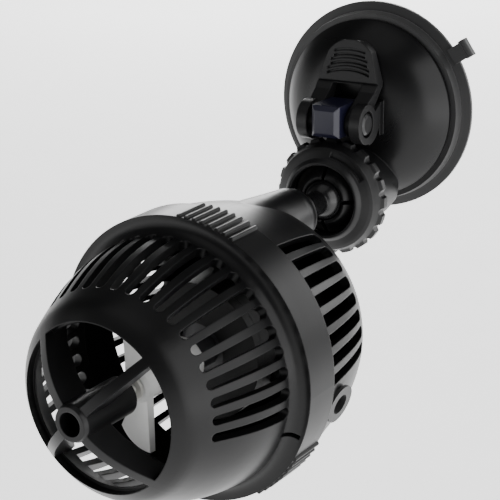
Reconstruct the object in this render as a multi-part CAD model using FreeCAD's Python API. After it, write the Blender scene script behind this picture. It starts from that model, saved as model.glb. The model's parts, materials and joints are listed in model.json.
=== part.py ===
import FreeCAD, Part
import math
import os

# Wave maker pump on a lever suction mount.  All lengths in millimetres, angles in degrees.
# Frame: origin at the centre of the sealing rim, on the glass; +Y points into the glass,
# -Y out into the tank, +Z up (towards the lever), +X to the right seen from the front.
# The pump head is built on its own axis (nose towards -Y) and then swung about the ball.

V = FreeCAD.Vector
ORIGIN = V(0, 0, 0)
X_AXIS = V(1, 0, 0)
Y_AXIS = V(0, 1, 0)
Z_AXIS = V(0, 0, 1)

# --- suction cup and its cover ---
CUP_R = 28.5
CUP_SEAL_INNER_R = 25.2
CUP_LIP = 1.0
CUP_SHOULDER_R = 25.6
CUP_SHOULDER_Y = -4.6
CORE_HOLE_R = 8.5
CORE_R = 8.1
TAB_ANGLE = 56.0
TAB_REACH = 33.2
TAB_NECK = 4.4
TAB_END = 5.0
TAB_T = 1.7
COVER_R = 24.2
COVER_EDGE_Y = -4.7
COVER_TOP_Y = -14.5
COVER_TOP_R = 9.5
COVER_WALL = 2.3
COVER_FLAT_Z = 1.2
COVER_FLAT_Y = (-8.5, -21.5)
SEAT_Y = -16.5
SEAT_X = 5.9
SEAT_W = 3.1
SEAT_Z = 4.5

# --- stud, pin and lever ---
PIN_Y = -24.5
PIN_R = 1.5
PIN_FIT = 0.05
EYE_W = 8.0
EYE_FRONT = 7.2
EYE_DOWN = 3.2
EYE_R = 5.2
EYE_CHAMFER = 1.2
WINDOW_TOP = 8.9
SHANK_Z = 8.0
GUIDE_GAP = 0.1
FOOT_R = 6.4
FOOT_T = 1.8
LIFT = 2.0
FLIP = 80
CAM_GAP = 0.05
BOSS_R = 3.8
EAR_IN = 6.2
EAR_OUT = 9.2
EAR_R = 5.3
HEAD_R = 2.9
HEAD_POCKET_R = 3.5
HEAD_T = 1.3
PAD_W_LOW = 17.4
PAD_W_TOP = 12.5
PAD_LOW = (-18.3, 9.6)
PAD_TOP = (-16.3, 20.4)
PAD_T = 2.6
GRIP_WIDTHS = (9.2, 10.8, 12.4)
GRIP_DEPTH = 0.7
GRIP_LOW = 3.2
GRIP_PITCH = 2.05

# --- ball socket and clamp nut ---
SOCKET_Z = -19.8
BALL_Y = -29.9
BALL_R = 5.5
BALL_GAP = 0.32
STEM_R = 3.2
STUB_R = 11.4
STUB_BORE_R = 9.4
STUB_END_Y = -28.4
STUB_FLOOR_Y = -19.8
COLLET_R = 9.3
COLLET_NOSE_R = 6.6
COLLET_END_Y = -31.9
COLLET_LIP_R = 5.2
COLLET_SLIT = 1.0
WASHER_IN_R = 9.75
WASHER_T = 0.8
NUT_R = 13.9
NUT_RIM_Y = -30.3
NUT_FRONT_Y = -33.0
NUT_BACK_Y = -25.0
NUT_HOLE_R = 9.4
NUT_BORE_R = 11.5
NUT_WEB_Y = -30.0
KNURL_R = 15.7
KNURL_COUNT = 20
KNURL_DEPTH = 1.3
SEAT_PAD_R = 2.9
SEAT_PAD_BACK_R = 8.0

# --- pump head, local: s is the distance towards the nose from the front edge of the ring ---
RING_R = 36.0
RING_W = 10.9
RING_BORE_R = 33.9
SPIGOT_R = 33.7
SPIGOT_WALL = 2.0
SPIGOT_END = -1.6
BALL_BEHIND = 64.34
BALL_ABOVE = 23.33
PUMP_PAN = -4.1
PUMP_TILT = 2.1
PUMP_ROLL = 3.3

# cage: outer profile as (radius, s)
CAGE_ROOT = (31.9, 1.8)
CAGE_MID = (29.9, 14.3)
CAGE_SHOULDER = (25.4, 25.8)
CAGE_RIM = (21.0, 31.8)
CAGE_CROWN = (12.5, 38.0)
CAGE_WALL = 2.3
CAGE_SLOT_PITCH = 9.0
CAGE_SLOTS = 31
CAGE_SLOT_FIRST = 95.7
CAGE_SLOT_S = (2.4, 24.4)
CAGE_SLOT_W = 3.1
CAGE_SLOT_W_NOSE = 2.3
CAGE_SLOT_FLOOR = 24.2
SPOKE_FIRST = 41.7
SPOKE_W = 2.4
HUB_R = 4.6
HUB_S = 41.6
TUBE_R = 4.7
TUBE_S = 23.6
TUBE_BORE_R = 2.9
TUBE_BORE_S = 30.6
GRIP_CENTRES = (9.3, 129.3, 249.3)
GRIP_SPAN = 24
GRIP_RIBS = 8
GRIP_RIB_H = 0.6
LATCH_ANGLE = 107.3

# housing: outer profile as (radius, s)
SHELL_FRONT_R = 35.2
SHELL_WAIST = (34.1, -18.5)
SHELL_SHOULDER = (31.9, -28.5)
SHELL_BACK = (22.9, -42.8)
SHELL_END_S = -47.5
SHELL_WALL = 2.3
SHELL_SLOT_PITCH = 8.0
SHELL_SLOT_W = 2.9
SHELL_SLOT_FLOOR = 27.0
SHELL_SLOT_END_S = -31.8
SHELL_SLOT_FIRST = 33.9
SHELL_SLOTS_RIGHT = (0, 1, 2, 3, 4, 5, 6, 7, 11, 12, 13, 14, 15, 16)
SHELL_SLOTS_LEFT = (21, 22, 23, 24, 25, 26, 27, 28, 29, 30, 31, 32, 33, 34, 35, 36)
NECK_END_S = -50.2
NECK_END_R = 7.6
NECK_FOOT_S = -20.0
NECK_FOOT_R = 10.0
NECK_FLARE = 7.0
NECK_BORE_END_S = -41.0
NECK_INNER_S = -36.0
WASHER_ROOM_R = 5.0
BAYONET_ANGLES = (43, 163, 283)
BAYONET_WIDTH = 8
BAYONET_S = (-5.2, -3.2)
BAYONET_R = 34.6
CAGE_TWIST = 16
OUTLET_ANGLE = 103.3
OUTLET_S = -16.6
OUTLET_R = 5.2
OUTLET_TOP_R = 34.5
OUTLET_ROUND = 0.5
GROMMET_R = 4.2
GROMMET_BORE_R = 2.6
GROMMET_COLLAR_R = 4.9
GROMMET_COLLAR_T = 0.8
GROMMET_IN_R = 26.4
SPOUT_R = 3.8
SPOUT_BORE_R = 2.9

# motor
CAN_R = 17.5
CAN_WALL = 1.6
CAN_BACK_S = -42.0
CAN_FRONT_S = -9.0
LID_S = -6.4
WELL_BORE_R = 7.4
WELL_R = 8.6
WELL_END_S = -39.0
STATOR_R = 15.8
STATOR_INNER_R = 12.9
STATOR_S = (-32.0, -14.0)
POLE_TIP_R = 8.9
POLE_W = 9.0
COIL_OUT = 12.6
COIL_IN = 9.9
CAN_SCREW_ANGLES = (60, 180, 300)
CAN_SCREW_R = 11.9
SCREW_SHANK_R = 1.5
SCREW_HEAD_R = 2.7
SHAFT_R = 1.25
SHAFT_FIT = 0.05
SHAFT_S = (-38.6, 28.3)
ROTOR_R = 6.9
MAGNET_R = 6.2
MAGNET_BORE_R = 2.9
MAGNET_S = (-33.4, -10.5)
ROTOR_BACK_S = -34.8
ROTOR_NECK_R = 4.1
DOG_S = 4.0
DOG_SPAN = 60
CHAMBER_R = 4.4

# impeller
IMPELLER_HUB_R = 5.8
IMPELLER_NECK_R = 4.0
IMPELLER_S = (-1.0, 18.6)
CHAMBER_S = 4.6
BLADE_COUNT = 2
BLADE_FIRST = -3.3
BLADE_TIP_R = 16.3
BLADE_T = 1.5
BLADE_FRONT_S = 17.2
BLADE_LEAD_X = -3.4
# radius, trailing edge x, drop of the trailing edge behind the leading edge
BLADE_SECTIONS = ((1.0, 2.6, 8.0), (5.0, 4.4, 7.2), (10.0, 7.0, 5.6), (17.5, 10.4, 4.2))


def save(shape, name):
    """Write one node."""
    shape.exportStep(os.path.join("parts", name + ".step"))


def outline(start, steps, to_vector):
    """Closed face from a start point and steps; a group of points makes a smooth curve."""
    edges = []
    here = start
    for step in list(steps) + [start]:
        if isinstance(step[0], tuple):
            curve = Part.BSplineCurve()
            curve.interpolate([to_vector(p) for p in (here,) + step])
            edges.append(curve.toShape())
            here = step[-1]
        elif step != here:
            edges.append(Part.makeLine(to_vector(here), to_vector(step)))
            here = step
    return Part.Face(Part.Wire(edges))


def turned(start, *steps):
    """Body turned about the Y axis from (radius, y) points."""
    face = outline(start, steps, lambda p: V(p[0], p[1], 0))
    return face.revolve(ORIGIN, Y_AXIS, 360)


def spun(start, *steps):
    """Body turned about the pump axis from (radius, s) points."""
    face = outline(start, steps, lambda p: V(p[0], -p[1], 0))
    return face.revolve(ORIGIN, Y_AXIS, 360)


def rod(radius, y0, y1, x=0, z=0):
    """Cylinder parallel to Y."""
    low = min(y0, y1)
    return Part.makeCylinder(radius, abs(y1 - y0), V(x, low, z), Y_AXIS)


def tube(outer, inner, y0, y1):
    """Plain ring about the Y axis."""
    return rod(outer, y0, y1).cut(rod(inner, y0, y1))


def block(x0, x1, y0, y1, z0, z1):
    """Box from its limits."""
    return Part.makeBox(x1 - x0, y1 - y0, z1 - z0, V(x0, y0, z0))


def around(shape, angle):
    """Turn about the Y axis, from the top towards +X."""
    turned_shape = shape.copy()
    turned_shape.rotate(ORIGIN, Y_AXIS, angle)
    return turned_shape


def sector(outer, y0, y1, centre, span):
    """Wedge of a disc about the Y axis, centred on an angle from the top."""
    wedge = Part.makeCylinder(outer, y1 - y0, V(0, y0, 0), Y_AXIS, span)
    start = math.degrees(math.atan2(wedge.CenterOfMass.x, wedge.CenterOfMass.z))
    return around(wedge, centre - start)


def pan_tilt_roll(shape):
    """Swing a pump-head piece about the ball into its rest position."""
    placed = shape.copy()
    placed.translate(V(0, -BALL_BEHIND, -BALL_ABOVE))
    placed.rotate(ORIGIN, Y_AXIS, PUMP_ROLL)
    placed.rotate(ORIGIN, X_AXIS, PUMP_TILT)
    placed.rotate(ORIGIN, Z_AXIS, PUMP_PAN)
    placed.translate(V(0, BALL_Y, SOCKET_Z))
    return placed


def at_socket(shape):
    """Move a piece made on the Y axis to the socket axis."""
    placed = shape.copy()
    placed.translate(V(0, 0, SOCKET_Z))
    return placed


def make_suction_cup():
    """Rubber skirt with the sealing lip, shoulder and pull tab."""
    skirt = turned((CORE_HOLE_R, -4.9), (CUP_SEAL_INNER_R, 0), (CUP_R, 0), (CUP_R, -CUP_LIP),
                   (26.7, -1.5), (26.1, -1.7), (26.1, -2.3), (CUP_SHOULDER_R, CUP_SHOULDER_Y),
                   (COVER_R - COVER_WALL - 0.1, CUP_SHOULDER_Y), (CORE_HOLE_R, -8.4))
    neck = block(-TAB_NECK / 2, TAB_NECK / 2, -TAB_T - 0.2, -0.2, CUP_R - 1.2, TAB_REACH - 2)
    end = block(-TAB_END / 2, TAB_END / 2, -TAB_T - 0.2, -0.2, TAB_REACH - 2.2, TAB_REACH)
    grip = Part.makeCylinder(0.9, TAB_END, V(-TAB_END / 2, -TAB_T - 0.2, TAB_REACH - 0.9), X_AXIS)
    tab = neck.fuse([end, grip])
    return skirt.fuse(around(tab, TAB_ANGLE)).removeSplitter()


def cover_dome(outer_r, edge_y, top_y, top_r):
    """Solid dome used for the outside and the inside of the cover."""
    middle = ((outer_r + top_r) / 2 + 1.9, (edge_y + top_y) / 2 - 1.55)
    return turned((0, edge_y), (outer_r, edge_y), (outer_r, edge_y - 1.0),
                  (middle, (top_r, top_y)), (0, top_y))


def make_cup_cover():
    """Hard dome with the cam seats, stud guide and socket stub."""
    shell = cover_dome(COVER_R, COVER_EDGE_Y, COVER_TOP_Y, COVER_TOP_R)
    inside = cover_dome(COVER_R - COVER_WALL, COVER_EDGE_Y, COVER_TOP_Y + COVER_WALL,
                        COVER_TOP_R - 0.6)
    seats = [block(side * SEAT_X - (SEAT_W if side < 0 else 0),
                   side * SEAT_X + (SEAT_W if side > 0 else 0),
                   SEAT_Y, COVER_TOP_Y + 3.0, -SEAT_Z, SEAT_Z) for side in (-1, 1)]
    web = block(-SEAT_X - 1, SEAT_X + 1, SEAT_Y + 1.4, COVER_TOP_Y + 1.0, -SEAT_Z, SEAT_Z)
    stub = at_socket(rod(STUB_R, STUB_END_Y, -9.0))
    body = shell.fuse(seats + [web, stub])
    bore = at_socket(rod(STUB_BORE_R, STUB_END_Y - 1, STUB_FLOOR_Y))
    half_x = EYE_W / 2 + GUIDE_GAP
    half_z = SHANK_Z / 2 + GUIDE_GAP
    guide = block(-half_x, half_x, SEAT_Y - 5, -5, -half_z, half_z)
    low = SOCKET_Z - STUB_R - 1
    flat_z = -COVER_R + COVER_FLAT_Z
    slant = [V(-COVER_R, 0, flat_z), V(-COVER_R, COVER_FLAT_Y[0], flat_z),
             V(-COVER_R, COVER_FLAT_Y[1], low), V(-COVER_R, 0, low)]
    below = Part.Face(Part.makePolygon(slant + [slant[0]])).extrude(V(2 * COVER_R, 0, 0))
    below = below.cut(cover_dome(COVER_R, COVER_EDGE_Y, COVER_TOP_Y, COVER_TOP_R))
    return body.cut([inside, bore, guide, below]).removeSplitter()


def make_cam_stud():
    """Stud with the eye for the lever pin and a foot bonded into the core."""
    half = EYE_W / 2
    eye = Part.makeCylinder(EYE_R, EYE_W, V(-half, PIN_Y, 0), X_AXIS)
    nose = block(-half, half, PIN_Y - EYE_FRONT, PIN_Y + EYE_R, -EYE_DOWN, EYE_R)
    trim = block(-half - 1, half + 1, PIN_Y - 9, PIN_Y + 9, -EYE_DOWN, EYE_R + 1)
    shank = block(-half, half, PIN_Y, -7.5, -SHANK_Z / 2, SHANK_Z / 2)
    foot = rod(FOOT_R, -8.3, -8.3 + FOOT_T)
    shape = eye.fuse(nose).common(trim).fuse([shank, foot]).removeSplitter()
    edges = [e for e in shape.Edges
             if abs(e.BoundBox.YMin - (PIN_Y - EYE_FRONT)) < 0.01
             and abs(e.BoundBox.YMax - (PIN_Y - EYE_FRONT)) < 0.01]
    shape = shape.makeChamfer(EYE_CHAMFER, edges)
    hole = Part.makeCylinder(PIN_R, EYE_W + 2, V(-half - 1, PIN_Y, 0), X_AXIS)
    return shape.cut(hole)


def make_cup_core(stud):
    """Rubber centre of the cup, moulded round the stud foot."""
    core = turned((0, -5.6), (5.0, -5.4), (CORE_R, -4.9), (CORE_R, -9.2), (0, -9.2))
    return core.cut(stud)


def make_lever_pin():
    """Hinge pin pressed into the stud, with a round head on the right."""
    shank = Part.makeCylinder(PIN_R, 2 * EAR_OUT - 1.0, V(-EAR_OUT + 0.5, PIN_Y, 0), X_AXIS)
    head_x = EAR_OUT - HEAD_T + 0.05
    head = Part.makeCylinder(HEAD_R, HEAD_T - 0.35, V(head_x, PIN_Y, 0), X_AXIS)
    dome = Part.makeCone(HEAD_R, HEAD_R - 0.6, 0.5, V(head_x + HEAD_T - 0.35, PIN_Y, 0), X_AXIS)
    return shank.fuse([head, dome]).removeSplitter()


def make_pin_clip():
    """Push-on clip that holds the left end of the pin."""
    disc = Part.makeCylinder(HEAD_R, 0.8, V(-EAR_OUT + 0.4, PIN_Y, 0), X_AXIS)
    bore = Part.makeCylinder(PIN_R, 2.0, V(-EAR_OUT, PIN_Y, 0), X_AXIS)
    slots = [block(-EAR_OUT, -EAR_OUT + 2, PIN_Y - 0.4, PIN_Y + 0.4, PIN_R - 0.4, PIN_R + 0.7)]
    return disc.cut([bore] + slots)


def cam_face():
    """Ear cam whose reach towards the cover falls evenly as the lever is thrown."""
    reach = SEAT_Y - PIN_Y - CAM_GAP
    rate = LIFT / math.radians(FLIP)
    points = []
    for degrees in range(-20, 96, 5):
        a = math.radians(degrees)
        h = reach - rate * a
        y = h * math.cos(a) + rate * math.sin(a)
        z = -h * math.sin(a) + rate * math.cos(a)
        points.append(V(0, PIN_Y + y, z))
    curve = Part.BSplineCurve()
    curve.interpolate(points)
    centre = V(0, PIN_Y, 0)
    wire = Part.Wire([curve.toShape(), Part.makeLine(points[-1], centre),
                      Part.makeLine(centre, points[0])])
    return Part.Face(wire)


def lever_side(front_shift):
    """Side outline of the pad and arms in the YZ plane."""
    y_low, z_low = PAD_LOW
    y_top, z_top = PAD_TOP
    step = 0.9
    corners = [(y_low - front_shift, z_low), (y_top - front_shift, z_top),
               (y_top + PAD_T, z_top - 0.5), (y_low + PAD_T + 1.2, z_low),
               (PIN_Y + BOSS_R + 0.6, 0.5), (PIN_Y - 0.6, 0.5), (PIN_Y - BOSS_R + 0.4, 2.2),
               (y_low + step - 2.2, z_low - 2.2), (y_low + step, z_low)]
    points = [V(0, y, z) for y, z in corners]
    return Part.Face(Part.makePolygon(points + [points[0]]))


def make_lever():
    """Over-centre lever: two cam ears, arms and the thumb pad."""
    wide = 2 * EAR_OUT
    plate = lever_side(0.0).extrude(V(wide, 0, 0))
    plate.translate(V(-EAR_OUT, 0, 0))
    low_z = PAD_LOW[1]
    top_z = PAD_TOP[1]
    half_low = PAD_W_LOW / 2
    half_top = PAD_W_TOP / 2
    front = [V(-EAR_OUT + 1.4, 0, -9), V(-EAR_OUT + 1.4, 0, 1.0), V(-half_low - 0.2, 0, low_z - 1),
             V(-half_low, 0, low_z), V(-half_top, 0, top_z - 3.2)]
    right = [V(-p.x, 0, p.z) for p in reversed(front)]
    crown = Part.Arc(front[-1], V(0, 0, top_z + 0.1), right[0]).toShape()
    sides = [Part.makeLine(a, b) for a, b in zip(front[:-1], front[1:])]
    sides += [crown]
    sides += [Part.makeLine(a, b) for a, b in zip(right[:-1], right[1:])]
    sides += [Part.makeLine(right[-1], front[0])]
    mask = Part.Face(Part.Wire(sides)).extrude(V(0, 60, 0))
    mask.translate(V(0, -50, 0))
    plate = plate.common(mask)
    bosses = [Part.makeCylinder(BOSS_R, EAR_IN - EYE_W / 2 - 0.3 + 0.5,
                                V(x, PIN_Y, 0), X_AXIS)
              for x in (EYE_W / 2 + 0.3, -EAR_IN - 0.5)]
    ear = Part.makeCylinder(EAR_R, EAR_OUT - EAR_IN, V(EAR_IN, PIN_Y, 0), X_AXIS)
    cam = cam_face().extrude(V(EAR_OUT - EAR_IN, 0, 0))
    cam.translate(V(EAR_IN, 0, 0))
    right_ear = ear.fuse(cam)
    left_ear = right_ear.mirror(ORIGIN, X_AXIS)
    shape = plate.fuse(bosses + [right_ear, left_ear])
    gap = EYE_W / 2 + 0.3
    window = block(-gap, gap, PIN_Y - 12, PIN_Y + 12, -8, WINDOW_TOP)
    hole = Part.makeCylinder(PIN_R + PIN_FIT, wide + 4, V(-EAR_OUT - 2, PIN_Y, 0), X_AXIS)
    pockets = [Part.makeCylinder(HEAD_POCKET_R, HEAD_T, V(x, PIN_Y, 0), X_AXIS)
               for x in (EAR_OUT - HEAD_T, -EAR_OUT)]
    shape = shape.cut([window, hole] + pockets)
    return cut_grips(shape).removeSplitter()


def cut_grips(shape):
    """Arched grip grooves across the thumb pad."""
    y_low, z_low = PAD_LOW
    y_top, z_top = PAD_TOP
    slope = (y_top - y_low) / (z_top - z_low)
    cutters = []
    for index, width in enumerate(reversed(GRIP_WIDTHS)):
        z = z_low + GRIP_LOW + GRIP_PITCH * index
        y = y_low + slope * (z - z_low)
        for offset in (-0.62, 0.62):
            outer = Part.makeCylinder(17.0, 4.0, V(0, y + GRIP_DEPTH - 4.0, z + offset - 16.3), Y_AXIS)
            inner = Part.makeCylinder(16.4, 4.0, V(0, y + GRIP_DEPTH - 4.0, z + offset - 16.3), Y_AXIS)
            band = block(-width / 2, width / 2, y - 6, y + 6, z - 6, z + 6)
            cutters.append(outer.cut(inner).common(band))
    return shape.cut(cutters)


def make_ball_collet():
    """Split seat that grips the ball from the front."""
    body = turned((0, STUB_FLOOR_Y - 0.1), (COLLET_R, STUB_FLOOR_Y - 0.1), (COLLET_R, -29.0),
                  (COLLET_NOSE_R, COLLET_END_Y + 0.4), (COLLET_NOSE_R - 0.5, COLLET_END_Y),
                  (0, COLLET_END_Y))
    ball = Part.makeSphere(BALL_R + BALL_GAP, V(0, BALL_Y, 0))
    well = rod(BALL_R + BALL_GAP, BALL_Y, STUB_FLOOR_Y - 1.9)
    mouth = rod(COLLET_LIP_R, BALL_Y, COLLET_END_Y - 1)
    slits = [around(block(-COLLET_SLIT / 2, COLLET_SLIT / 2, COLLET_END_Y - 1, -23.5, 0, 12), a)
             for a in (0, 90, 180, 270)]
    return at_socket(body.cut([ball, well, mouth] + slits))


def make_slip_washer():
    """Thrust ring between the collet stub and the nut web."""
    ring = tube(NUT_BORE_R - 0.35, WASHER_IN_R, NUT_WEB_Y + 0.05, NUT_WEB_Y + 0.05 + WASHER_T)
    return at_socket(ring)


def make_clamp_nut():
    """Ring nut with a knurled skirt and two spanner arcs in the face."""
    front = NUT_FRONT_Y
    lip = NUT_HOLE_R + 1.2
    body = turned((NUT_BORE_R, NUT_BACK_Y), (NUT_BORE_R, NUT_WEB_Y), (NUT_HOLE_R, NUT_WEB_Y),
                  (NUT_HOLE_R, front + 0.6), ((NUT_HOLE_R + 0.5, front), (lip, front + 0.4)),
                  (lip + 0.6, front + 1.2), (NUT_R - 0.8, NUT_RIM_Y - 0.5), (NUT_R, NUT_RIM_Y),
                  (NUT_R + 0.9, NUT_BACK_Y - 2.8), (KNURL_R, NUT_BACK_Y - 2.2),
                  (KNURL_R, NUT_BACK_Y - 0.4), (KNURL_R - 0.4, NUT_BACK_Y))
    notches = []
    for index in range(KNURL_COUNT):
        notch = rod(1.15, NUT_BACK_Y - 3.4, NUT_BACK_Y + 1, 0, KNURL_R + 1.15 - KNURL_DEPTH + 0.25)
        notches.append(around(notch, (index + 0.5) * 360 / KNURL_COUNT))
    arcs = []
    for centre in (34, 214):
        ring = tube(NUT_R - 0.7, NUT_HOLE_R + 2.4, front - 1, NUT_RIM_Y - 0.3)
        arcs.append(ring.common(sector(20, front - 2, front + 4, centre, 52)))
    return at_socket(body.cut(notches + arcs))


def make_seat_pad():
    """Friction pad behind the ball; it turns with the ball from side to side."""
    shell = Part.makeSphere(SEAT_PAD_BACK_R).cut(Part.makeSphere(BALL_R + BALL_GAP))
    pad = shell.common(rod(SEAT_PAD_R, 0, 12))
    pad.translate(V(0, BALL_Y, SOCKET_Z))
    return pan_only(pad)


def pan_only(shape):
    """Turn a piece side to side about the ball to the rest direction."""
    placed = shape.copy()
    placed.rotate(V(0, BALL_Y, SOCKET_Z), Z_AXIS, PUMP_PAN)
    return placed


def make_ball_stud():
    """Ball with its stem, tapped for the retaining screw."""
    centre = V(0, BALL_BEHIND, BALL_ABOVE)
    ball = Part.makeSphere(BALL_R, centre)
    stem = rod(STEM_R, BALL_BEHIND, -NECK_BORE_END_S - 0.1, 0, BALL_ABOVE)
    tap = rod(SCREW_SHANK_R, -NECK_BORE_END_S - 1, -NECK_BORE_END_S + 6.0, 0, BALL_ABOVE)
    flat = block(-0.5, 0.5, BALL_BEHIND - 2.4, BALL_BEHIND + 2.4, BALL_ABOVE - 9, BALL_ABOVE - 5.1)
    return pan_tilt_roll(ball.fuse(stem).cut([tap, flat]))


def make_stem_screw():
    """Screw that keeps the stem in the neck."""
    face_y = -NECK_BORE_END_S - 1.2
    shank = rod(SCREW_SHANK_R, face_y, -NECK_BORE_END_S + 6.0, 0, BALL_ABOVE)
    head = rod(SCREW_HEAD_R, face_y - 1.6, face_y, 0, BALL_ABOVE)
    cross = block(-0.4, 0.4, face_y - 2, face_y - 0.8, BALL_ABOVE - 1.8, BALL_ABOVE + 1.8)
    bar = block(-1.8, 1.8, face_y - 2, face_y - 0.8, BALL_ABOVE - 0.4, BALL_ABOVE + 0.4)
    return pan_tilt_roll(shank.fuse(head).cut([cross, bar]))


def make_stem_washer():
    """Washer under the stem screw."""
    y0 = -NECK_BORE_END_S - 1.2
    ring = rod(WASHER_ROOM_R - 0.6, y0, y0 + 1.0, 0, BALL_ABOVE)
    ring = ring.cut(rod(SCREW_SHANK_R, y0, y0 + 1.0, 0, BALL_ABOVE))
    return pan_tilt_roll(ring)


def shell_solid(inset):
    """Solid of the rear shell, drawn in by an inset."""
    front = SHELL_FRONT_R - inset
    waist = (SHELL_WAIST[0] - inset, SHELL_WAIST[1])
    shoulder = (SHELL_SHOULDER[0] - inset, SHELL_SHOULDER[1] + 0.3 * inset)
    back = (SHELL_BACK[0] - 0.6 * inset, SHELL_BACK[1] + 0.8 * inset)
    end = SHELL_END_S + inset
    return spun((0, -RING_W - 0.1), (front, -RING_W - 0.1),
                (waist, shoulder, (28.7 - 0.9 * inset, -36.3 + 0.5 * inset), back,
                 (12.5 - 0.2 * inset, -46.8 + inset), (0.01, end)), (0, end))


def make_rear_housing():
    """Slotted rear shell with the spigot, neck, screw pillars and cable outlet."""
    behind_ring = rod(RING_R + 10, RING_W + 0.1, 80)
    outer = shell_solid(0).fuse(neck_solid(0)).common(behind_ring)
    spigot = tube(SPIGOT_R, SPIGOT_R - SPIGOT_WALL, -SPIGOT_END, RING_W + 2.0)
    shell = outer.cut([shell_solid(SHELL_WALL), neck_solid(SHELL_WALL)])
    shell = shell.fuse([stem_boss(), outlet_boss()])
    slots = []
    slot_end = -SHELL_SLOT_END_S
    slot_depth = RING_R + 4 - SHELL_SLOT_FLOOR
    for index in SHELL_SLOTS_RIGHT + SHELL_SLOTS_LEFT:
        slot = block(-SHELL_SLOT_W / 2, SHELL_SLOT_W / 2, RING_W + 0.7, slot_end,
                     SHELL_SLOT_FLOOR, SHELL_SLOT_FLOOR + slot_depth)
        nose = Part.makeCylinder(SHELL_SLOT_W / 2, slot_depth,
                                 V(0, slot_end, SHELL_SLOT_FLOOR), Z_AXIS)
        slots.append(around(slot.fuse(nose), SHELL_SLOT_FIRST + index * SHELL_SLOT_PITCH))
    shell = shell.cut(slots)
    pillars = []
    bores = []
    for angle in CAN_SCREW_ANGLES:
        pillars.append(around(rod(3.9, -CAN_BACK_S, 46.0, 0, CAN_SCREW_R), angle))
        bores.append(around(rod(SCREW_SHANK_R + 0.1, -CAN_BACK_S - 1, 50, 0, CAN_SCREW_R), angle))
        bores.append(around(rod(SCREW_HEAD_R + 0.3, 44.4, 50, 0, CAN_SCREW_R), angle))
    lugs = []
    for angle in BAYONET_ANGLES:
        ring = tube(BAYONET_R, SPIGOT_R - 0.5, -BAYONET_S[1], -BAYONET_S[0])
        lugs.append(ring.common(sector(40, 0, 10, angle, BAYONET_WIDTH)))
    tie = tube(SHELL_FRONT_R - 1.2, SPIGOT_R - SPIGOT_WALL, RING_W + 0.1, RING_W + 2.0)
    tie = tie.cut(slots)
    body = shell.fuse([spigot, tie] + lugs + pillars)
    stem_bore = rod(STEM_R + SHAFT_FIT, -NECK_BORE_END_S - 1, 60, 0, BALL_ABOVE)
    grommet_seat = outlet_rod(GROMMET_R, GROMMET_IN_R - 1, OUTLET_TOP_R + 1)
    can_room = rod(CAN_R + 0.1, 0, -CAN_BACK_S)
    screw_room = rod(WASHER_ROOM_R, -NECK_INNER_S, -NECK_BORE_END_S, 0, BALL_ABOVE)
    return body.cut(bores + [stem_bore, screw_room, grommet_seat, can_room]).removeSplitter()


def neck_solid(inset):
    """Smooth arm over the shell that carries the stem, drawn in by an inset."""
    far = NECK_END_S + 4.0 * inset
    end_r = NECK_END_R - inset
    foot_r = NECK_FOOT_R - inset
    face = outline((0, NECK_FOOT_S), [(foot_r, NECK_FOOT_S), (end_r, far + 5.5),
                                      ((end_r - 0.5, far + 2.6), (end_r - 2.2, far)), (0, far)],
                   lambda p: V(p[0], -p[1], 0))
    arm = face.revolve(ORIGIN, Y_AXIS, 360)
    arm.translate(V(0, 0, BALL_ABOVE))
    side_r = NECK_FOOT_R + 1.0 - inset
    flank = Part.makeCone(side_r, end_r - 1.5, NECK_FOOT_S - far - 9.0,
                          V(0, -NECK_FOOT_S, BALL_ABOVE - 2.0), Y_AXIS)
    pair = []
    for side in (-1, 1):
        cone = flank.copy()
        cone.rotate(V(0, -far, BALL_ABOVE), Z_AXIS, side * NECK_FLARE)
        pair.append(cone)
    return arm.fuse(pair)


def stem_boss():
    """Solid end of the arm, bored for the stem."""
    return rod(NECK_END_R - 1.0, -NECK_BORE_END_S, -NECK_END_S - 1.0, 0, BALL_ABOVE)


def outlet_rod(radius, r0, r1):
    """Cylinder that points out of the shell at the cable outlet."""
    shape = Part.makeCylinder(radius, r1 - r0, V(0, -OUTLET_S, r0), Z_AXIS)
    return around(shape, OUTLET_ANGLE)


def outlet_boss():
    """Low round boss for the cable grommet."""
    boss = Part.makeCylinder(OUTLET_R, OUTLET_TOP_R - GROMMET_IN_R, V(0, -OUTLET_S, GROMMET_IN_R),
                             Z_AXIS)
    crown = [e for e in boss.Edges if e.Closed and abs(e.BoundBox.ZMin - OUTLET_TOP_R) < 0.01]
    return around(boss.makeFillet(OUTLET_ROUND, crown), OUTLET_ANGLE)


def make_cable_grommet():
    """Rubber grommet in the cable outlet, bore left empty."""
    body = outlet_rod(GROMMET_R, GROMMET_IN_R, OUTLET_TOP_R)
    collar = outlet_rod(GROMMET_COLLAR_R, OUTLET_TOP_R, OUTLET_TOP_R + GROMMET_COLLAR_T)
    bore = outlet_rod(GROMMET_BORE_R, GROMMET_IN_R - 1, OUTLET_TOP_R + 2)
    return body.fuse(collar).cut(bore)


def make_motor_can():
    """Sealed stator can with the lead spout."""
    body = rod(CAN_R, -CAN_FRONT_S, -CAN_BACK_S)
    room = rod(CAN_R - CAN_WALL, -CAN_FRONT_S - 1, -CAN_BACK_S - CAN_WALL)
    bosses = [around(rod(3.0, -CAN_BACK_S - 6.0, -CAN_BACK_S, 0, CAN_SCREW_R), a)
              for a in CAN_SCREW_ANGLES]
    taps = [around(rod(SCREW_SHANK_R, -CAN_BACK_S - 5.0, -CAN_BACK_S + 1, 0, CAN_SCREW_R), a)
            for a in CAN_SCREW_ANGLES]
    spout = outlet_rod(SPOUT_R, CAN_R - 1.0, GROMMET_IN_R - 0.2)
    spout_bore = outlet_rod(SPOUT_BORE_R, CAN_R - 3.0, GROMMET_IN_R + 1.0)
    shape = body.cut(room).fuse(bosses + [spout])
    return shape.cut(taps + [spout_bore]).removeSplitter()


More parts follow.
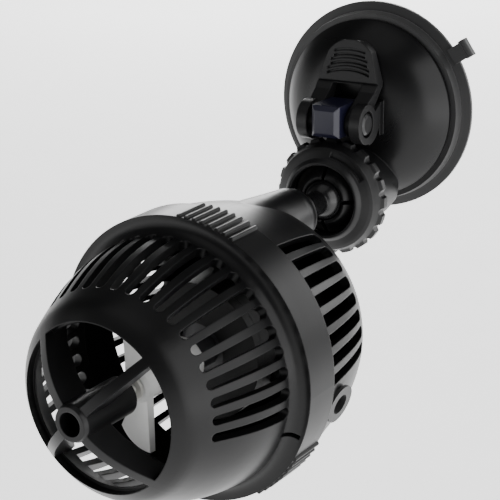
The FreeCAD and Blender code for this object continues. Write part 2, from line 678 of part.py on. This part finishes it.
def make_well_lid():
    """Can lid with the closed rotor well."""
    lid = tube(CAN_R, WELL_BORE_R, -LID_S, -CAN_FRONT_S)
    register = tube(CAN_R - CAN_WALL - 0.05, CAN_R - CAN_WALL - 1.6, -CAN_FRONT_S, -CAN_FRONT_S + 2.2)
    well = tube(WELL_R, WELL_BORE_R, -LID_S, -WELL_END_S)
    floor = rod(WELL_R, -WELL_END_S - 1.4, -WELL_END_S)
    pocket = tube(4.2, 3.2, -WELL_END_S - 3.0, -WELL_END_S - 1.4)
    return lid.fuse([register, well, floor, pocket]).removeSplitter()


def make_can_seal():
    """O-ring between the can and the lid register."""
    ring = tube(CAN_R - CAN_WALL - 1.65, CAN_R - CAN_WALL - 3.0, -CAN_FRONT_S + 0.05,
                -CAN_FRONT_S + 1.45)
    return ring


def make_stator_core():
    """Ring yoke with two inward poles."""
    y0, y1 = -STATOR_S[1], -STATOR_S[0]
    yoke = tube(STATOR_R, STATOR_INNER_R, y0, y1)
    half = POLE_W / 2
    poles = block(-STATOR_INNER_R - 0.5, STATOR_INNER_R + 0.5, y0, y1, -half, half)
    poles = poles.cut(rod(POLE_TIP_R, y0 - 1, y1 + 1))
    return yoke.fuse(poles).removeSplitter()


def frame_ring(x0, x1, grow_out, grow_in):
    """Rectangular frame that slips round a pole."""
    y0, y1 = -STATOR_S[1], -STATOR_S[0]
    half = POLE_W / 2
    outer = block(x0, x1, y0 - grow_out, y1 + grow_out, -half - grow_out, half + grow_out)
    inner = block(x0 - 1, x1 + 1, y0 - grow_in, y1 + grow_in, -half - grow_in, half + grow_in)
    return outer.cut(inner)


def make_bobbin(side):
    """Plastic former on one pole."""
    core = frame_ring(COIL_IN, COIL_OUT - 0.4, 0.7, 0.05)
    cheeks = [frame_ring(COIL_IN - 0.1, COIL_IN + 0.5, 2.6, 0.05)]
    shape = core.fuse(cheeks).common(rod(STATOR_INNER_R - 0.05, 0, 50))
    shape = shape.cut(rod(WELL_R + 0.3, 0, 50))
    return shape if side > 0 else shape.mirror(ORIGIN, X_AXIS)


def make_coil(side):
    """Winding on one bobbin."""
    shape = frame_ring(COIL_IN + 0.55, COIL_OUT - 0.7, 2.4, 0.75)
    shape = shape.common(rod(STATOR_INNER_R - 0.05, 0, 50)).cut(rod(WELL_R + 0.3, 0, 50))
    return shape if side > 0 else shape.mirror(ORIGIN, X_AXIS)


def make_rear_bush():
    """Rubber bush in the bottom of the well."""
    return tube(3.15, SHAFT_R, -WELL_END_S - 3.4, -WELL_END_S - 1.45)


def make_shaft():
    """Ceramic shaft, fixed in the rear bush."""
    shank = rod(SHAFT_R, -SHAFT_S[1], -WELL_END_S - 1.5)
    return shank.makeChamfer(0.3, [e for e in shank.Edges if e.Closed])


def make_rear_washer():
    """Thrust washer behind the rotor."""
    return tube(2.8, SHAFT_R + SHAFT_FIT, -ROTOR_BACK_S + 0.05, -WELL_END_S - 3.45)


def make_rotor_sleeve():
    """Moulded carrier with the driving dog at the front."""
    bore = SHAFT_R + SHAFT_FIT + 0.02
    body = rod(ROTOR_R, -MAGNET_S[1] - 1.5, -ROTOR_BACK_S)
    magnet = tube(ROTOR_R + 1, MAGNET_BORE_R, -MAGNET_S[1], -MAGNET_S[0])
    skin = tube(ROTOR_R, MAGNET_R + 0.02, -MAGNET_S[1], -MAGNET_S[0])
    neck = rod(ROTOR_NECK_R, 1.4, -MAGNET_S[1])
    dog = rod(ROTOR_NECK_R, -DOG_S, 1.4).common(sector(10, -10, 5, 0, DOG_SPAN))
    core = rod(2.2, -DOG_S, 1.4)
    shape = body.cut(magnet).fuse([skin, neck, dog, core])
    return shape.cut(rod(bore, -20, 50)).removeSplitter()


def make_rotor_magnet():
    """Two-pole magnet ring."""
    return tube(MAGNET_R, MAGNET_BORE_R + 0.02, -MAGNET_S[1] + 0.02, -MAGNET_S[0] - 0.02)


def make_impeller():
    """Two broad swept blades on a slim hub with the dog chamber behind."""
    front, back = IMPELLER_S[1], IMPELLER_S[0]
    hub = spun((0, back), (IMPELLER_HUB_R, back), (IMPELLER_HUB_R, CHAMBER_S + 1.2),
               (IMPELLER_NECK_R + 0.3, CHAMBER_S + 4.0), (IMPELLER_NECK_R, front - 1.0),
               (IMPELLER_NECK_R - 0.8, front), (0, front))
    limit = rod(BLADE_TIP_R, -front, 0)
    blades = []
    for index in range(BLADE_COUNT):
        blade = blade_blank().common(limit)
        blades.append(around(blade, BLADE_FIRST + index * 360 / BLADE_COUNT))
    shape = hub.fuse(blades)
    chamber = rod(CHAMBER_R, -CHAMBER_S, 2)
    dog = rod(CHAMBER_R + 0.2, -CHAMBER_S - 0.2, -back).common(sector(10, -10, 5, 180, DOG_SPAN))
    dog = dog.cut(rod(2.4, -10, 10))
    shape = shape.cut(chamber).fuse(dog)
    return shape.cut(rod(SHAFT_R + SHAFT_FIT + 0.02, -30, 10)).removeSplitter()


def blade_blank():
    """One blade standing on the hub: straight leading edge, twisted towards the tip."""
    profiles = []
    for radius, trail_x, drop in BLADE_SECTIONS:
        slope = math.atan2(drop, trail_x - BLADE_LEAD_X)
        nx = math.sin(slope) * BLADE_T / 2
        ns = math.cos(slope) * BLADE_T / 2
        lead = (BLADE_LEAD_X, -BLADE_FRONT_S)
        trail = (trail_x, -BLADE_FRONT_S + drop)
        points = [V(lead[0] + nx, lead[1] - ns, radius), V(trail[0] + nx, trail[1] - ns, radius),
                  V(trail[0] - nx, trail[1] + ns, radius), V(lead[0] - nx, lead[1] + ns, radius)]
        profiles.append(Part.makePolygon(points + [points[0]]))
    return Part.makeLoft(profiles, True, True)


def make_front_washer():
    """Thrust washer in front of the impeller."""
    return tube(2.7, SHAFT_R + SHAFT_FIT, -IMPELLER_S[1] - 0.9, -IMPELLER_S[1] - 0.05)


def cage_solid(inset):
    """Solid of the cage dome, drawn in by an inset."""
    root = (CAGE_ROOT[0] - inset, CAGE_ROOT[1])
    mid = (CAGE_MID[0] - inset, CAGE_MID[1] - 0.1 * inset)
    shoulder = (CAGE_SHOULDER[0] - 0.9 * inset, CAGE_SHOULDER[1] - 0.4 * inset)
    rim = (CAGE_RIM[0] - 0.7 * inset, CAGE_RIM[1] - 0.7 * inset)
    crown = (CAGE_CROWN[0] - 0.4 * inset, CAGE_CROWN[1] - inset)
    tip = (0, HUB_S - 0.6 - inset)
    bulge = ((shoulder[0] + rim[0]) / 2 + 0.5, (shoulder[1] + rim[1]) / 2 + 0.3)
    return spun((0, -2.0), (root[0], -2.0), root,
                (mid, shoulder, bulge, rim, crown, (0.01, tip[1])), tip)


def make_front_cage():
    """Slotted cage with the brim, grip ring, spokes and nose tube."""
    outer = cage_solid(0)
    shell = outer.cut(cage_solid(CAGE_WALL))
    shell = shell.common(rod(60, -60, -0.2))
    nose_cut = rod(CAGE_RIM[0] - 0.5, -60, -CAGE_RIM[1] + 1.8)
    shell = shell.cut(nose_cut)
    brim = spun((31.0, -1.2), (RING_R, -1.2), (RING_R, 0), ((33.4, 0.35), (CAGE_ROOT[0], 2.6)),
                (31.0, 2.6))
    brim = brim.cut(cage_solid(CAGE_WALL))
    band = tube(RING_R, RING_BORE_R, 0.5, RING_W)
    band = band.cut(tube(RING_R + 1, RING_R - 0.35, RING_W - 0.35, RING_W + 1))
    shell = shell.fuse([brim, band])
    shell = shell.fuse(make_ribs())
    cutters = []
    for index in range(CAGE_SLOTS):
        cutters.append(around(slot_cutter(), CAGE_SLOT_FIRST - index * CAGE_SLOT_PITCH))
    shell = shell.cut(cutters)
    fins = []
    fin_limit = outer.cut(inner_fin_limit())
    for index in range(4):
        fin = block(-SPOKE_W / 2, SPOKE_W / 2, -HUB_S, -24.0, 0, CAGE_RIM[0] + 4.0)
        fins.append(around(fin.common(fin_limit), SPOKE_FIRST + 90 * index))
    nose = spun((0, TUBE_S), (TUBE_R, TUBE_S), (HUB_R, HUB_S - 1.0), (HUB_R - 0.5, HUB_S), (0, HUB_S))
    shell = shell.fuse(fins + [nose])
    bush_seat = rod(2.4, -TUBE_S - 4.6, -TUBE_S + 1)
    shaft_room = rod(SHAFT_R + 0.4, -TUBE_S - 5.5, -TUBE_S)
    front_bore = rod(TUBE_BORE_R, -HUB_S - 1, -TUBE_BORE_S)
    latch = around(block(-0.6, 0.6, -3, 3, 31.6, 35.0), LATCH_ANGLE)
    grooves = bayonet_grooves()
    return shell.cut([bush_seat, shaft_room, front_bore, latch] + grooves).removeSplitter()


def inner_fin_limit():
    """Space inside the spokes, following the dome at the spoke depth."""
    return spun((0, 0), (24.0, 0), (24.0, 22.0), (16.5, 28.2), (9.0, 31.6), (0, 33.5))


def slot_cutter():
    """One cage slot at the top, wider at the ring than at the nose."""
    y_ring = -CAGE_SLOT_S[0] - CAGE_SLOT_W / 2
    y_nose = -CAGE_SLOT_S[1] + CAGE_SLOT_W_NOSE / 2
    half_ring = CAGE_SLOT_W / 2
    half_nose = CAGE_SLOT_W_NOSE / 2
    points = [V(-half_ring, y_ring, CAGE_SLOT_FLOOR), V(half_ring, y_ring, CAGE_SLOT_FLOOR),
              V(half_nose, y_nose, CAGE_SLOT_FLOOR), V(-half_nose, y_nose, CAGE_SLOT_FLOOR)]
    height = 34.0 - CAGE_SLOT_FLOOR
    body = Part.Face(Part.makePolygon(points + [points[0]])).extrude(V(0, 0, height))
    ring_end = Part.makeCylinder(half_ring, height, V(0, y_ring, CAGE_SLOT_FLOOR), Z_AXIS)
    nose_end = Part.makeCylinder(half_nose, height, V(0, y_nose, CAGE_SLOT_FLOOR), Z_AXIS)
    return body.fuse([ring_end, nose_end])


def make_ribs():
    """Three groups of grip ribs on the ring."""
    ribs = []
    for centre in GRIP_CENTRES:
        for index in range(GRIP_RIBS):
            angle = centre + (index - (GRIP_RIBS - 1) / 2) * GRIP_SPAN / (GRIP_RIBS - 1)
            rib = rod(0.55, 0.3, RING_W - 0.4, 0, RING_R + GRIP_RIB_H - 0.55)
            ribs.append(around(rib, angle))
    return ribs


def bayonet_grooves():
    """Lug tracks inside the ring: a run for the twist and an entry at its end."""
    grooves = []
    depth = BAYONET_R + 0.35
    span = BAYONET_WIDTH + CAGE_TWIST + 1.4
    for angle in BAYONET_ANGLES:
        run = tube(depth, RING_BORE_R - 0.5, -BAYONET_S[1] - 0.1, -BAYONET_S[0] + 0.1)
        centre = angle - CAGE_TWIST / 2
        grooves.append(run.common(sector(40, 0, 10, centre, span)))
        entry = tube(depth, RING_BORE_R - 0.5, -BAYONET_S[1] - 0.1, RING_W + 1)
        grooves.append(entry.common(sector(40, 0, 12, angle - CAGE_TWIST, BAYONET_WIDTH + 1.4)))
    return grooves


def make_front_bush():
    """Bush in the nose tube that steadies the shaft end."""
    return tube(2.38, SHAFT_R + SHAFT_FIT, -TUBE_S - 4.5, -TUBE_S - 0.05)


def make_can_screw(angle):
    """Self-tapping screw holding the can to the shell."""
    shank = rod(SCREW_SHANK_R, -CAN_BACK_S - 4.8, 44.4, 0, CAN_SCREW_R)
    head = rod(SCREW_HEAD_R, 44.4, 45.9, 0, CAN_SCREW_R)
    bars = [block(-0.4, 0.4, 45.2, 47, CAN_SCREW_R - 1.7, CAN_SCREW_R + 1.7),
            block(-1.7, 1.7, 45.2, 47, CAN_SCREW_R - 0.4, CAN_SCREW_R + 0.4)]
    return around(shank.fuse(head).cut(bars), angle)


def main():
    os.makedirs("parts", exist_ok=True)
    stud = make_cam_stud()
    save(make_suction_cup(), "suction_cup")
    save(make_cup_cover(), "cup_cover")
    save(make_ball_collet(), "ball_collet")
    save(stud, "cam_stud")
    save(make_cup_core(stud), "cup_core")
    save(make_lever_pin(), "lever_pin")
    save(make_pin_clip(), "pin_clip")
    save(make_lever(), "lever")
    save(make_slip_washer(), "slip_washer")
    save(make_clamp_nut(), "clamp_nut")
    save(make_seat_pad(), "seat_pad")
    save(make_ball_stud(), "ball_stud")
    save(make_stem_screw(), "stem_screw")
    save(make_stem_washer(), "stem_washer")
    head = {
        "rear_housing": make_rear_housing(),
        "motor_can": make_motor_can(),
        "well_lid": make_well_lid(),
        "can_seal": make_can_seal(),
        "stator_core": make_stator_core(),
        "bobbin_left": make_bobbin(-1),
        "bobbin_right": make_bobbin(1),
        "coil_left": make_coil(-1),
        "coil_right": make_coil(1),
        "rear_bush": make_rear_bush(),
        "rotor_shaft": make_shaft(),
        "rear_washer": make_rear_washer(),
        "cable_grommet": make_cable_grommet(),
        "rotor_sleeve": make_rotor_sleeve(),
        "rotor_magnet": make_rotor_magnet(),
        "impeller": make_impeller(),
        "front_washer": make_front_washer(),
        "front_cage": make_front_cage(),
        "front_bush": make_front_bush(),
    }
    for number, angle in enumerate(CAN_SCREW_ANGLES, start=1):
        head["can_screw_%d" % number] = make_can_screw(angle)
    for name, shape in head.items():
        save(pan_tilt_roll(shape), name)


main()
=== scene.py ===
import json

import bmesh
import bpy
from mathutils import Matrix, Vector

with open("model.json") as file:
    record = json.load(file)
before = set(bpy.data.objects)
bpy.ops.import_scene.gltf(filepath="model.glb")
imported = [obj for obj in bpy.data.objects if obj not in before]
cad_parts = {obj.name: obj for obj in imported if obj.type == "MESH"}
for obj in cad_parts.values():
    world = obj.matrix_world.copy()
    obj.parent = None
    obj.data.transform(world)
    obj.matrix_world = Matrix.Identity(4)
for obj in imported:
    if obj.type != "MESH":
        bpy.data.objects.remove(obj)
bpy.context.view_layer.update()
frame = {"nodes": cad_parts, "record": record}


EDGE_RADIUS = 0.0004
FLOOR_Z = -0.30
FLOOR_HALF = 6.0
FLOOR_GLOW = 1.4
CAMERA_PLACE = (0.18531836, -0.39424411, 0.09237908)
CAMERA_RIGHT = (0.86856405, 0.49555593, -0.00456177)
CAMERA_UP = (-0.14276502, 0.25901869, 0.95526303)
CAMERA_FORWARD = (-0.47456785, 0.82905587, -0.29572238)
CAMERA_LENS = 115.2
CAMERA_SENSOR = 36.0
HORIZON_STRENGTH = 1.2
OVERHEAD_STRENGTH = 0.08
FADE_FROM = 0.04
FADE_TO = 0.22
LIGHT_TARGET = (0.0, -0.07, -0.03)
BACKDROP_TARGET = (-0.7, 1.1, -0.3)


# ---------------------------------------------------------------- materials
class Nodes:
    """A small wrapper that builds one material's node tree."""

    def __init__(self, name):
        self.material = bpy.data.materials.new(name)
        self.material.use_nodes = True
        self.tree = self.material.node_tree
        self.tree.nodes.clear()
        self.shader = self.tree.nodes.new("ShaderNodeBsdfPrincipled")
        output = self.tree.nodes.new("ShaderNodeOutputMaterial")
        self.link(self.shader.outputs[0], output.inputs[0])
        coordinates = self.tree.nodes.new("ShaderNodeTexCoord")
        self.object = coordinates.outputs["Object"]

    def link(self, a, b):
        self.tree.links.new(a, b)

    def scaled(self, scale):
        mapping = self.tree.nodes.new("ShaderNodeMapping")
        mapping.inputs["Scale"].default_value = scale
        self.link(self.object, mapping.inputs["Vector"])
        return mapping.outputs[0]

    def noise(self, scale, detail=3.0, rough=0.55, stretch=None, distort=0.0):
        node = self.tree.nodes.new("ShaderNodeTexNoise")
        node.inputs["Scale"].default_value = scale
        node.inputs["Detail"].default_value = detail
        node.inputs["Roughness"].default_value = rough
        node.inputs["Distortion"].default_value = distort
        self.link(self.scaled(stretch) if stretch else self.object, node.inputs["Vector"])
        return node.outputs["Fac"]

    def voronoi(self, scale):
        node = self.tree.nodes.new("ShaderNodeTexVoronoi")
        node.inputs["Scale"].default_value = scale
        self.link(self.object, node.inputs["Vector"])
        return node.outputs["Distance"]

    def wave(self, scale, direction="Y", distortion=0.0):
        node = self.tree.nodes.new("ShaderNodeTexWave")
        node.bands_direction = direction
        node.inputs["Scale"].default_value = scale
        node.inputs["Distortion"].default_value = distortion
        self.link(self.object, node.inputs["Vector"])
        return node.outputs["Fac"]

    def ramp(self, value, low, high, colour_a, colour_b):
        node = self.tree.nodes.new("ShaderNodeValToRGB")
        node.color_ramp.elements[0].position = low
        node.color_ramp.elements[0].color = (*colour_a, 1.0)
        node.color_ramp.elements[1].position = high
        node.color_ramp.elements[1].color = (*colour_b, 1.0)
        self.link(value, node.inputs["Fac"])
        return node.outputs["Color"]

    def span(self, value, low, high):
        node = self.tree.nodes.new("ShaderNodeMapRange")
        node.inputs["To Min"].default_value = low
        node.inputs["To Max"].default_value = high
        self.link(value, node.inputs["Value"])
        return node.outputs["Result"]

    def mix(self, factor, a, b):
        node = self.tree.nodes.new("ShaderNodeMix")
        node.data_type = "RGBA"
        self.link(factor, node.inputs["Factor"])
        self.link(a, node.inputs["A"])
        self.link(b, node.inputs["B"])
        return node.outputs["Result"]

    def bump(self, height, strength, distance, below=None):
        node = self.tree.nodes.new("ShaderNodeBump")
        node.inputs["Strength"].default_value = strength
        node.inputs["Distance"].default_value = distance
        self.link(height, node.inputs["Height"])
        if below is not None:
            self.link(below, node.inputs["Normal"])
        return node.outputs["Normal"]

    def edge(self, radius):
        """Normal with the sharp edges rounded over, as a mould leaves them."""
        node = self.tree.nodes.new("ShaderNodeBevel")
        node.samples = 4
        node.inputs["Radius"].default_value = radius
        return node.outputs["Normal"]

    def set(self, **values):
        for key, value in values.items():
            self.shader.inputs[key.replace("_", " ")].default_value = value

    def finish(self, colour, roughness, normal):
        self.link(colour, self.shader.inputs["Base Color"])
        self.link(roughness, self.shader.inputs["Roughness"])
        self.link(normal, self.shader.inputs["Normal"])
        return self.material


def moulded(name, dark, light, rough=(0.3, 0.42), grain=0.08, specular=0.5):
    """Injection-moulded plastic: fine spark texture, flow marks and handling marks."""
    n = Nodes(name)
    clouds = n.noise(38.0, 4.0)
    dust = n.noise(900.0, 2.0, 0.7)
    body = n.ramp(clouds, 0.3, 0.72, dark, light)
    lifted = tuple(min(1.0, c * 1.35 + 0.004) for c in light)
    specks = n.ramp(dust, 0.62, 0.8, light, lifted)
    spots = n.span(n.noise(420.0, 3.0, 0.6), 0.0, 0.35)
    colour = n.mix(spots, body, specks)
    smears = n.noise(60.0, 5.0, 0.6, stretch=(1.0, 3.5, 1.0), distort=0.6)
    roughness = n.span(smears, rough[0], rough[1])
    flow = n.bump(n.noise(120.0, 2.0), 0.05, 0.0004, n.edge(EDGE_RADIUS))
    fine = n.bump(n.noise(2600.0, 2.0, 0.6), grain, 0.00006, flow)
    n.set(Specular_IOR_Level=specular)
    return n.finish(colour, roughness, fine)


def rubber(name, dark, light, rough=(0.42, 0.6)):
    """Moulded rubber: soft sheen, bloom patches and fine pores."""
    n = Nodes(name)
    bloom = n.noise(55.0, 5.0, 0.6, distort=0.4)
    colour = n.ramp(bloom, 0.35, 0.75, dark, light)
    roughness = n.span(n.noise(140.0, 4.0), rough[0], rough[1])
    pores = n.bump(n.voronoi(1500.0), 0.06, 0.00008)
    waves = n.bump(n.noise(90.0, 2.0), 0.08, 0.0003, pores)
    n.set(Sheen_Weight=0.15, Sheen_Roughness=0.5, Specular_IOR_Level=0.45)
    return n.finish(colour, roughness, waves)


def metal(name, dark, light, rough=(0.22, 0.38), lines=None):
    """Turned or stamped metal with fine tool lines."""
    n = Nodes(name)
    colour = n.ramp(n.noise(300.0, 4.0), 0.3, 0.7, dark, light)
    roughness = n.span(n.noise(700.0, 3.0, stretch=(1.0, 6.0, 1.0)), rough[0], rough[1])
    if lines:
        height = n.wave(lines, "Y")
    else:
        height = n.noise(1800.0, 2.0, stretch=(1.0, 8.0, 1.0))
    n.set(Metallic=1.0)
    return n.finish(colour, roughness, n.bump(height, 0.15, 0.00008))


def windings(name):
    """Enamelled copper wire laid in close turns, with painted shade in the grooves between turns.
    """
    n = Nodes(name)
    turns = n.wave(1100.0, "Y", 0.3)
    # painted shade: the colour darkens into the groove between turns and is copper-bright on each
    # turn's crown, following the same wave as the bump
    colour = n.ramp(turns, 0.15, 0.8, (0.16, 0.045, 0.018), (0.55, 0.2, 0.08))
    roughness = n.span(n.noise(400.0), 0.25, 0.4)
    n.set(Metallic=0.8)
    return n.finish(colour, roughness, n.bump(turns, 0.6, 0.0003))


MATERIALS = {
    "cup_rubber": rubber("cup_rubber", (0.0030, 0.0030, 0.0033), (0.0065, 0.0065, 0.0070)),
    "cover_plastic": moulded("cover_plastic", (0.0024, 0.0024, 0.0026), (0.0046, 0.0046, 0.0049),
                             (0.24, 0.33), grain=0.03, specular=0.24),
    "socket_plastic": moulded("socket_plastic", (0.0028, 0.0028, 0.0030), (0.0055, 0.0055, 0.0058),
                              (0.28, 0.38), grain=0.06, specular=0.28),
    "stud_plastic": moulded("stud_plastic", (0.0040, 0.0042, 0.0130), (0.0085, 0.0085, 0.0225),
                            (0.26, 0.38), grain=0.06, specular=0.4),
    "pin_plastic": moulded("pin_plastic", (0.0070, 0.0070, 0.0075), (0.0130, 0.0130, 0.0135),
                           (0.25, 0.36), grain=0.06, specular=0.4),
    "lever_plastic": moulded("lever_plastic", (0.0040, 0.0040, 0.0043), (0.0080, 0.0080, 0.0084),
                             (0.34, 0.46), grain=0.12, specular=0.3),
    "washer_plastic": moulded("washer_plastic", (0.52, 0.51, 0.48), (0.68, 0.67, 0.63),
                              (0.35, 0.5)),
    "nut_plastic": moulded("nut_plastic", (0.0032, 0.0032, 0.0034), (0.0066, 0.0066, 0.0070),
                           (0.30, 0.42), grain=0.1, specular=0.3),
    "pad_rubber": rubber("pad_rubber", (0.008, 0.008, 0.008), (0.016, 0.016, 0.016)),
    "ball_plastic": moulded("ball_plastic", (0.0030, 0.0030, 0.0032), (0.0060, 0.0060, 0.0064),
                            (0.2, 0.3), grain=0.04, specular=0.45),
    "steel": metal("steel", (0.46, 0.46, 0.47), (0.68, 0.68, 0.69)),
    "housing_plastic": moulded("housing_plastic", (0.0026, 0.0026, 0.0028),
                               (0.0052, 0.0052, 0.0055), (0.28, 0.38), grain=0.07, specular=0.22),
    "cage_plastic": moulded("cage_plastic", (0.0026, 0.0026, 0.0028), (0.0052, 0.0052, 0.0055),
                            (0.28, 0.38), grain=0.07, specular=0.22),
    "can_plastic": moulded("can_plastic", (0.0024, 0.0024, 0.0026), (0.0050, 0.0050, 0.0053),
                           (0.4, 0.55), grain=0.1, specular=0.3),
    "seal_rubber": rubber("seal_rubber", (0.004, 0.004, 0.0044), (0.009, 0.009, 0.0095)),
    "laminations": metal("laminations", (0.22, 0.22, 0.23), (0.38, 0.38, 0.40), (0.35, 0.5),
                         lines=900.0),
    "bobbin_plastic": moulded("bobbin_plastic", (0.60, 0.58, 0.50), (0.76, 0.73, 0.65),
                              (0.4, 0.55)),
    "copper": windings("copper"),
    "ceramic": moulded("ceramic", (0.74, 0.73, 0.70), (0.88, 0.87, 0.84), (0.08, 0.16), 0.01),
    "rotor_plastic": moulded("rotor_plastic", (0.03, 0.03, 0.033), (0.06, 0.06, 0.064),
                             (0.25, 0.4)),
    "magnet": metal("magnet", (0.08, 0.08, 0.085), (0.15, 0.15, 0.155), (0.4, 0.6)),
    "impeller_plastic": moulded("impeller_plastic", (0.62, 0.62, 0.61), (0.78, 0.78, 0.77),
                                (0.34, 0.48), 0.05),
}

SLOT_OF = {entry["node"]: entry["material_slot"] for entry in frame["record"]["subparts"]}
for node_name, node_object in frame["nodes"].items():
    finish = MATERIALS[SLOT_OF[node_name]]
    if not node_object.material_slots:
        node_object.data.materials.append(finish)
    for slot in node_object.material_slots:
        slot.material = finish


# ---------------------------------------------------------------- stage
def area_light(name, place, target, size, power, size_y=None):
    data = bpy.data.lights.new(name, "AREA")
    data.energy = power
    data.size = size
    if size_y:
        data.shape = "RECTANGLE"
        data.size_y = size_y
    light = bpy.data.objects.new(name, data)
    bpy.context.collection.objects.link(light)
    light.location = place
    aim = Vector(target) - Vector(place)
    light.rotation_euler = aim.to_track_quat("-Z", "Y").to_euler()
    return light


def make_floor():
    mesh = bpy.data.meshes.new("floor")
    build = bmesh.new()
    bmesh.ops.create_grid(build, x_segments=2, y_segments=2, size=FLOOR_HALF)
    build.to_mesh(mesh)
    build.free()
    floor = bpy.data.objects.new("floor", mesh)
    bpy.context.collection.objects.link(floor)
    floor.location = (0, 0, FLOOR_Z)
    n = Nodes("floor_paint")
    colour = n.ramp(n.noise(3.0), 0.3, 0.7, (0.9, 0.9, 0.9), (0.94, 0.94, 0.94))
    roughness = n.span(n.noise(20.0), 0.6, 0.75)
    n.set(Emission_Color=(1.0, 1.0, 1.0, 1.0), Emission_Strength=FLOOR_GLOW)
    mesh.materials.append(n.finish(colour, roughness, n.bump(n.noise(60.0), 0.02, 0.001)))


def make_camera():
    data = bpy.data.cameras.new("camera")
    data.sensor_width = CAMERA_SENSOR
    data.lens = CAMERA_LENS
    data.clip_start = 0.01
    camera = bpy.data.objects.new("camera", data)
    bpy.context.collection.objects.link(camera)
    basis = Matrix((CAMERA_RIGHT, CAMERA_UP, -Vector(CAMERA_FORWARD))).transposed().to_4x4()
    camera.matrix_world = Matrix.Translation(CAMERA_PLACE) @ basis
    bpy.context.scene.camera = camera


def make_world():
    """Pale all round at eye level, dimmer overhead so that dark plastic stays dark."""
    world = bpy.data.worlds.new("studio")
    bpy.context.scene.world = world
    world.use_nodes = True
    tree = world.node_tree
    background = tree.nodes["Background"]
    direction = tree.nodes.new("ShaderNodeTexCoord")
    height = tree.nodes.new("ShaderNodeSeparateXYZ")
    fade = tree.nodes.new("ShaderNodeMapRange")
    fade.inputs["From Min"].default_value = FADE_FROM
    fade.inputs["From Max"].default_value = FADE_TO
    fade.inputs["To Min"].default_value = HORIZON_STRENGTH
    fade.inputs["To Max"].default_value = OVERHEAD_STRENGTH
    tree.links.new(direction.outputs["Generated"], height.inputs[0])
    tree.links.new(height.outputs["Z"], fade.inputs["Value"])
    tree.links.new(fade.outputs["Result"], background.inputs["Strength"])
    background.inputs["Color"].default_value = (1.0, 1.0, 1.0, 1.0)


make_floor()
make_camera()
make_world()
area_light("key", (0.75, -0.20, 0.20), LIGHT_TARGET, 0.9, 8.0, 1.0)
area_light("top", (-0.1, -0.3, 0.7), LIGHT_TARGET, 0.6, 0.6)
area_light("fill", (-0.6, -0.6, 0.1), LIGHT_TARGET, 0.6, 1.4)
area_light("rim", (0.50, 0.80, 0.30), LIGHT_TARGET, 0.5, 4.0, 0.6)
area_light("backdrop", (-1.1, 2.1, 0.7), BACKDROP_TARGET, 1.2, 40.0)
